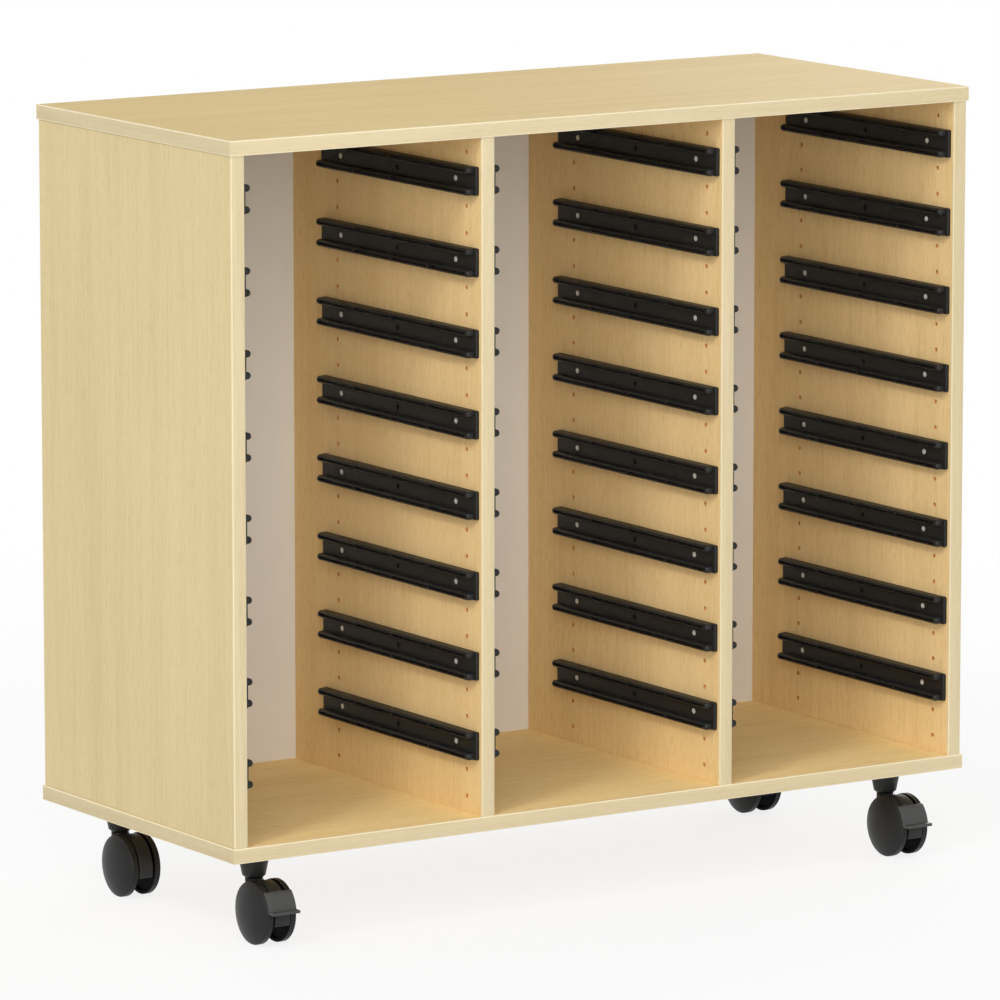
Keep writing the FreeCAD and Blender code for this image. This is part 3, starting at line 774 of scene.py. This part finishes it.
class UNIT_OT_edging(bpy.types.Operator):
    """Edging strips with rounded corners"""
    bl_idname = "tray_unit.edging"
    bl_label = "Edging"

    def execute(self, context):
        board = context.scene.tray_unit.board
        radius = board.edge_round
        for name in ("top", "base"):
            low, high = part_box(f"{name}_edging")
            inner_low, inner_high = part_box(f"{name}_panel")

            def along_x(work):
                for inner, outer in ((inner_low.y, low.y), (inner_high.y, high.y)):
                    section = edge_section(inner, outer, low.z, high.z, radius)
                    add_prism(work, section, lambda u, v, w: (low.x + w, u, v), high.x - low.x)

            def along_y(work):
                for inner, outer in ((inner_low.x, low.x), (inner_high.x, high.x)):
                    section = edge_section(inner, outer, low.z, high.z, radius)
                    add_prism(work, section, lambda u, v, w: (u, inner_low.y + w, v), inner_high.y - inner_low.y)

            self.strips(f"{name}_edging_long", along_x, "level_edging", f"{name}_edging")
            self.strips(f"{name}_edging_end", along_y, "end_edging", f"{name}_edging")
        low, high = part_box("upright_edging")

        def uprights(work):
            for upright in UPRIGHTS:
                left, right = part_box(upright)
                section = edge_section(left.y, low.y, left.x, right.x, radius)
                add_prism(work, section, lambda u, v, w: (v, u, low.z + w), high.z - low.z)

        self.strips("upright_front_edging", uprights, "upright_edging", "upright_edging")
        return {"FINISHED"}

    @staticmethod
    def strips(name, build, material, node, square=0.985):
        """One piece of edging, with the faces that go round a corner marked, where a paler highlight is painted."""
        piece = plain(new_piece(name, mesh_from(node, build), material), SMOOTH_EDGING)
        # The mark below says where the painted highlight goes
        marks = piece.data.attributes.new(ARRIS, "FLOAT", "FACE")
        for face, mark in zip(piece.data.polygons, marks.data):
            mark.value = 0.0 if max(abs(part) for part in face.normal) > square else 1.0
        carry(piece, CARCASS, "edging", node)


def middle_of(node):
    low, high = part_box(node)
    return (low + high) / 2


def runner_place():
    """Middle bay's right wall, a runner's front and rear, half its height and the rows' middle."""
    low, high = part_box("bay_2_runners_level_1")
    rows = [middle_of(f"bay_2_runners_level_{level}").z for level in (1, LEVELS)]
    return high.x, low.y, high.y, (high.z - low.z) / 2, rows


def screw_places(settings):
    """Where a runner's two screws sit along it."""
    _, front, rear, _, _ = runner_place()
    middle = (front + rear) / 2
    return middle - settings.screw_offset, middle + settings.screw_offset


def runner_mesh(settings):
    """A right-hand runner round its own row, with grooved flanges and recesses for two screws."""
    wall, front, rear, half, _ = runner_place()
    face, nose = wall - settings.plate, wall - settings.reach
    small = settings.corner_round

    def body(work):
        corner = settings.plate_round
        plate = rounded([(front, -half, corner), (rear, -half, corner), (rear, half, corner), (front, half, corner)])
        add_prism(work, plate, lambda u, v, w: (wall - w, u, v), settings.plate)

    def flange(side):
        centre, tall = side * (half - settings.flange / 2 - settings.step), settings.flange / 2
        start, end, ball = front + settings.setback, rear - small, settings.end_round
        root = wall - settings.plate / 2

        def ring(y, inset):
            reach = tall - inset
            corner = min(settings.nose_round, FULLEST * reach)
            section = rounded([(root, centre + reach, 0), (nose + inset, centre + reach, corner),
                               (nose + inset, centre - reach, corner), (root, centre - reach, 0)], NOSE_STEPS)
            return [(u, y, v) for u, v in section]

        def build(work):
            turns = [QUARTER * step / END_STEPS for step in range(END_STEPS + 1)]
            curve = [(ball * (1 - math.cos(turn)), ball * (1 - math.sin(turn))) for turn in turns]
            rings = [ring(start + run, inset) for run, inset in curve]
            add_loft(work, rings + [ring(end - run, inset) for run, inset in reversed(curve)])
        return build

    piece = new_piece("runner", mesh_from("runner_plate", body), "runner_plastic")
    plain(bevel(piece, small, 2, 60.0))
    for side in (-1, 1):
        added = new_piece("runner_flange", mesh_from("runner_flange", flange(side)), "runner_plastic")
        combine(piece, plain(added), "UNION")

    def grooves(work):
        start, end = front + settings.setback + settings.blunt, rear - settings.blunt
        share = (end - start + settings.rib) / GROOVE_PARTS
        for side in (-1, 1):
            centre = side * (half - settings.flange / 2)
            for part in range(GROOVE_PARTS):
                low = start + part * share
                add_box(work, (nose - settings.rib, low, centre - settings.groove / 2),
                        (nose + settings.groove_depth, low + share - settings.rib, centre + settings.groove / 2))

    def recesses(work):
        for y in screw_places(settings):
            add_rod(work, (face - settings.plate, y, 0), (face + settings.recess_depth, y, 0),
                    settings.recess_radius, SCREW_SIDES)
        middle = (front + rear) / 2
        add_rod(work, (face - settings.plate, middle, 0), (wall - small, middle, 0),
                settings.screw_radius, HOLE_SIDES)

    for name, build in (("grooves", grooves), ("recesses", recesses)):
        combine(piece, new_piece(name, mesh_from(name, build)), "DIFFERENCE")
    return piece


def screws_mesh(settings):
    """Two pan heads with cross recesses, set in a right-hand runner."""
    wall = runner_place()[0]
    seat = wall - settings.plate + settings.recess_depth
    radius, crown = settings.screw_radius, settings.screw_crown
    profile = [(along * crown, out * radius) for along, out in PAN_HEAD]

    def heads(work):
        for y in screw_places(settings):
            add_lathe(work, profile, lambda a, s, u: (seat - a, y + s, u), SCREW_SIDES)

    def crosses(work):
        slot, reach, depth = CROSS_WIDTH * radius, CROSS_REACH * radius, CROSS_DEPTH * crown
        for y in screw_places(settings):
            for wide, tall in ((reach, slot / 2), (slot / 2, reach)):
                add_box(work, (seat - 2 * crown, y - wide, -tall), (seat - crown + depth, y + wide, tall))

    piece = new_piece("screw_pair", mesh_from("heads", heads), "steel")
    return combine(piece, new_piece("crosses", mesh_from("crosses", crosses)), "DIFFERENCE")


class UNIT_OT_runners(bpy.types.Operator):
    """Moulded runners at every level of every bay, and their screws"""
    bl_idname = "tray_unit.runners"
    bl_label = "Runners and screws"

    def execute(self, context):
        settings = context.scene.tray_unit.runner
        lowest, highest = runner_place()[4]
        step = (highest - lowest) / (LEVELS - 1)
        bay_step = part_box("right_divider")[0].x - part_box("left_divider")[0].x
        values = {"Bays": BAYS, "Levels": LEVELS, "Bay Step": bay_step, "Level Step": step,
                  "Middle": (0.0, 0.0, (lowest + highest) / 2)}
        tree = tray_rows_tree()
        for name, build, material, nodes in (("tray_runners", runner_mesh, "runner_plastic", RUNNERS),
                                             ("runner_screws", screws_mesh, "steel", ())):
            piece = build(settings)
            piece.name = name
            grow(piece, tree, {**values, "Material": finish(material)})
            carry(piece, CARCASS, material, *nodes)
        return {"FINISHED"}


class UNIT_OT_castors(bpy.types.Operator):
    """Castors with domed hollow wheels, moulded housings and collars"""
    bl_idname = "tray_unit.castors"
    bl_label = "Castors"

    def execute(self, context):
        settings = context.scene.tray_unit.castor
        for castor in CASTORS:
            for hand, side in (("left", -1), ("right", 1)):
                self.wheel(settings, castor, hand, side)
            housing = self.softened(f"{castor}_castor_housing", settings.hood_round, f"{castor}_castor",
                                    settings.hood_width / 2, settings.hood_inset)
            if castor in BRAKED:
                self.close_slot(settings, housing, castor)
            dress(f"{castor}_castor_axle", "steel")
        for castor in BRAKED:
            pedal = self.softened(f"{castor}_brake_pedal", settings.pedal_round, f"{castor}_brake_pedal")
            self.shield_gloss_and_sheen(settings, pedal, castor)
        dress("castor_stems", "steel")
        self.collars(settings)
        return {"FINISHED"}

    @staticmethod
    def wheel(settings, castor, hand, side):
        node = f"{castor}_castor_{hand}_wheel"
        low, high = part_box(node)
        inner, outer = (low.x, high.x) if side > 0 else (high.x, low.x)
        radius = (high.z - low.z) / 2
        centre = middle_of(node)
        wall, hub, dome = settings.wheel_wall, settings.hub_radius, settings.dome
        summit = abs(outer - inner) + settings.bulge
        shoulder = summit - dome
        rings = [radius * (1 - settings.wheel_round / radius) * i / DOME_STEPS for i in range(DOME_STEPS, -1, -1)]
        profile = [(0.0, radius), (shoulder - settings.wheel_round, radius)]
        profile += [(summit - dome * (ring / radius) ** DOME_POWER, ring) for ring in rings]
        profile += [(settings.bore_depth, 0.0), (settings.bore_depth, settings.bore), (0.0, settings.bore),
                    (0.0, hub), (shoulder - wall, hub), (shoulder - wall, radius - wall), (0.0, radius - wall)]
        mesh = mesh_from(node, lambda work: add_lathe(
            work, profile, lambda a, s, u: (inner + side * a, centre.y + s, centre.z + u), WHEEL_SIDES))
        piece = plain(new_piece(f"{node}_domed", mesh, "wheel_plastic", "wheel_hollow"), SMOOTH_WHEEL)
        # Faces deep in the wheel's hollow take the near-black finish: painted shade in the recess
        for face in piece.data.polygons:
            spot = face.center - centre
            deep = abs(face.center.x - inner) < shoulder - wall / 2
            face.material_index = int(deep and math.hypot(spot.y, spot.z) < radius - wall / 2)
        carry(piece, f"{castor}_{hand}_wheel", "wheel_plastic", node)

    @staticmethod
    def softened(node, width, body, flank=0.0, inset=0.0):
        """The node's own shape with rounded edges; its flanks, at that distance from its middle, are set in."""
        mesh = bpy.data.meshes.new(node)
        middle = middle_of(node).x
        with reshaping(mesh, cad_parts[node].data) as work:
            bmesh.ops.remove_doubles(work, verts=work.verts, dist=NODE_WELD)
            bmesh.ops.dissolve_limit(work, angle_limit=FLAT, verts=work.verts, edges=work.edges)
            for vertex in work.verts:
                if abs(abs(vertex.co.x - middle) - flank) < FLANK_TOLERANCE:
                    vertex.co.x -= math.copysign(inset, vertex.co.x - middle)
        piece = new_piece(f"{node}_moulded", mesh, "castor_plastic")
        bevel(piece, width, angle=35.0, clamped=False)
        return carry(plain(piece), body, "castor_plastic", node)

    @staticmethod
    def shield_gloss_and_sheen(settings, pedal, castor):
        """Gives a pedal's shield and tab their own finish, apart from the skirt below them: glossier plastic, with a
        lighter grey that is painted sheen.
        """
        tab = middle_of(f"{castor}_castor_axle").z + settings.tab_height
        pedal.data.materials.append(finish("pedal_plastic"))
        # Faces above the tab get the glossier finish with its painted sheen
        for face in pedal.data.polygons:
            face.material_index = int(face.center.z > tab)

    @staticmethod
    def close_slot(settings, housing, castor):
        """Closes the upper end of the pedal's slot, flush with the hood."""
        axle = middle_of(f"{castor}_castor_axle")
        radius, half = settings.hood_radius, settings.slot_width / 2
        start, end = (math.asin(height / radius) for height in (settings.slot_low, settings.slot_high))
        turns = [start + (end - start) * step / PLUG_STEPS for step in range(PLUG_STEPS + 1)]
        rims = [(radius, turn) for turn in turns] + [(radius - settings.hood_wall, turn) for turn in reversed(turns)]
        outline = [(-r * math.cos(turn), r * math.sin(turn)) for r, turn in rims]
        with reshaping(housing.data) as work:
            before = set(work.faces)
            add_prism(work, outline, lambda u, v, w: (axle.x - half + w, axle.y + u, axle.z + v), 2 * half)
            bmesh.ops.recalc_face_normals(work, faces=[face for face in work.faces if face not in before])

    @staticmethod
    def collars(settings):
        """Tapered collars under the base, bevelled at their lower ends."""
        low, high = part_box("castor_sockets")
        tall, bevelled = high.z - low.z, settings.collar_bevel
        reach, end, bore = settings.collar_top, settings.collar_low, settings.collar_bore
        side = end + (reach - end) * bevelled / tall
        profile = [(0.0, bore), (0.0, end - bevelled), (bevelled, side), (tall, reach), (tall, bore)]

        def build(work):
            for x in (low.x + reach, high.x - reach):
                for y in (low.y + reach, high.y - reach):
                    add_lathe(work, profile, lambda a, s, u: (x + s, y + u, low.z + a), COLLAR_SIDES)

        piece = plain(new_piece("castor_collars", mesh_from("collars", build), "castor_plastic"))
        carry(piece, CARCASS, "castor_plastic", "castor_sockets")


class UNIT_OT_stage(bpy.types.Operator):
    """Floor, light and camera"""
    bl_idname = "tray_unit.stage"
    bl_label = "Stage"

    def execute(self, context):
        stage = context.scene.tray_unit.stage
        self.floor(stage)
        self.sky(context, stage)
        for name, (place, extent) in LAMPS.items():
            self.lamp(name, getattr(stage, f"{name}_power"), Vector(place), extent)
        self.camera(context, stage)
        context.scene.view_settings.view_transform = "Standard"
        return {"FINISHED"}

    @staticmethod
    def seen_directly(graph):
        """1 where the camera, a reflection or a view through glass looks straight at it."""
        path = graph.tree.nodes.new("ShaderNodeLightPath")
        camera, mirror, glass = [Value(graph, path.outputs[f"Is {ray} Ray"]) for ray in
                                 ("Camera", "Glossy", "Transmission")]
        return camera.maths("MAXIMUM", camera, mirror.maths("MAXIMUM", mirror, glass))

    def floor(self, stage):
        half = stage.floor_half
        mesh = mesh_from("floor", lambda work: bmesh.ops.create_grid(work, x_segments=1, y_segments=1, size=half))
        floor = new_object("floor", mesh)
        made = Finish("floor")
        speck = made.noise(made.coords, 40.0, 2.0)
        tone = made.ramp(speck, (0.2, scaled(stage.floor_colour, 0.985)), (0.8, tuple(stage.floor_colour)))
        made.shade(base_color=tone, roughness=0.9, specular_ior_level=0.1)
        surface = made.tree.nodes["Material Output"].inputs[0]
        lit = Value(made, surface.links[0].from_socket)
        white = made.add("ShaderNodeEmission", {}, {"Color": WHITE, "Strength": 1.0})
        away = made.add("ShaderNodeVectorMath", {"operation": "LENGTH"}, {0: made.coords}, out=1)
        share = made.add("ShaderNodeMapRange", {"interpolation_type": "SMOOTHSTEP"}, {
            "Value": away, "From Min": stage.shadow_near, "From Max": stage.shadow_far,
            "To Min": stage.floor_white, "To Max": 1.0})
        seen = self.seen_directly(made) * share
        made.put(surface, made.add("ShaderNodeMixShader", {}, {0: seen, 1: lit, 2: white}))
        mesh.materials.append(made.material)

    def sky(self, context, stage):
        world = bpy.data.worlds.new("sky")
        world.use_nodes = True
        graph = Graph(world.node_tree)
        seen = self.seen_directly(graph)
        light, white = [graph.add("ShaderNodeBackground", {}, {"Color": WHITE, "Strength": strength})
                        for strength in (stage.sky_strength, 1.0)]
        mixed = graph.add("ShaderNodeMixShader", {}, {0: seen, 1: light, 2: white})
        graph.add("ShaderNodeOutputWorld", {}, {0: mixed})
        context.scene.world = world

    @staticmethod
    def aim(thing, place, direction):
        """Puts a lamp or the camera in its place, facing a direction."""
        thing.location = place
        thing.rotation_euler = direction.to_track_quat("-Z", "Y").to_euler()

    def lamp(self, name, power, place, extent):
        data = bpy.data.lights.new(name, "AREA")
        data.energy = power
        data.shape = "SQUARE"
        data.size = extent
        self.aim(new_object(name, data), place, LIT_POINT - place)

    def camera(self, context, stage):
        data = bpy.data.cameras.new("camera")
        data.sensor_width = SENSOR
        data.lens = stage.focal * SENSOR / IMAGE_WIDTH
        data.clip_end = FAR_CLIP
        turn, rise = stage.azimuth, stage.elevation
        back = Vector((math.sin(turn) * math.cos(rise), -math.cos(turn) * math.cos(rise), math.sin(rise)))
        camera = new_object("camera", data)
        self.aim(camera, Vector(stage.target) + back * stage.distance, -back)
        context.scene.camera = camera


class UNIT_PT_sidebar(bpy.types.Panel):
    """Lists the steps that dress the unit"""
    bl_idname = "UNIT_PT_sidebar"
    bl_label = "Tray unit"
    bl_space_type = "VIEW_3D"
    bl_region_type = "UI"
    bl_category = "Tray unit"

    def draw(self, context):
        for step in STEPS:
            self.layout.operator(step.bl_idname)
        unit = context.scene.tray_unit
        for group in (unit.board, unit.runner, unit.castor, unit.stage):
            box = self.layout.box()
            for name in group.__annotations__:
                box.prop(group, name)


STEPS = (UNIT_OT_uprights, UNIT_OT_levels, UNIT_OT_edging, UNIT_OT_runners, UNIT_OT_castors, UNIT_OT_stage)
CLASSES = (BoardSettings, RunnerSettings, CastorSettings, StageSettings, UnitSettings, *STEPS, UNIT_PT_sidebar)


def register():
    for each in CLASSES:
        bpy.utils.register_class(each)
    bpy.types.Scene.tray_unit = bpy.props.PointerProperty(type=UnitSettings)


def unregister():
    del bpy.types.Scene.tray_unit
    for each in reversed(CLASSES):
        bpy.utils.unregister_class(each)


def main():
    register()
    bpy.ops.tray_unit.uprights()
    bpy.ops.tray_unit.levels()
    bpy.ops.tray_unit.edging()
    bpy.ops.tray_unit.runners()
    bpy.ops.tray_unit.castors()
    bpy.ops.tray_unit.stage()


if __name__ == "__main__":
    main()
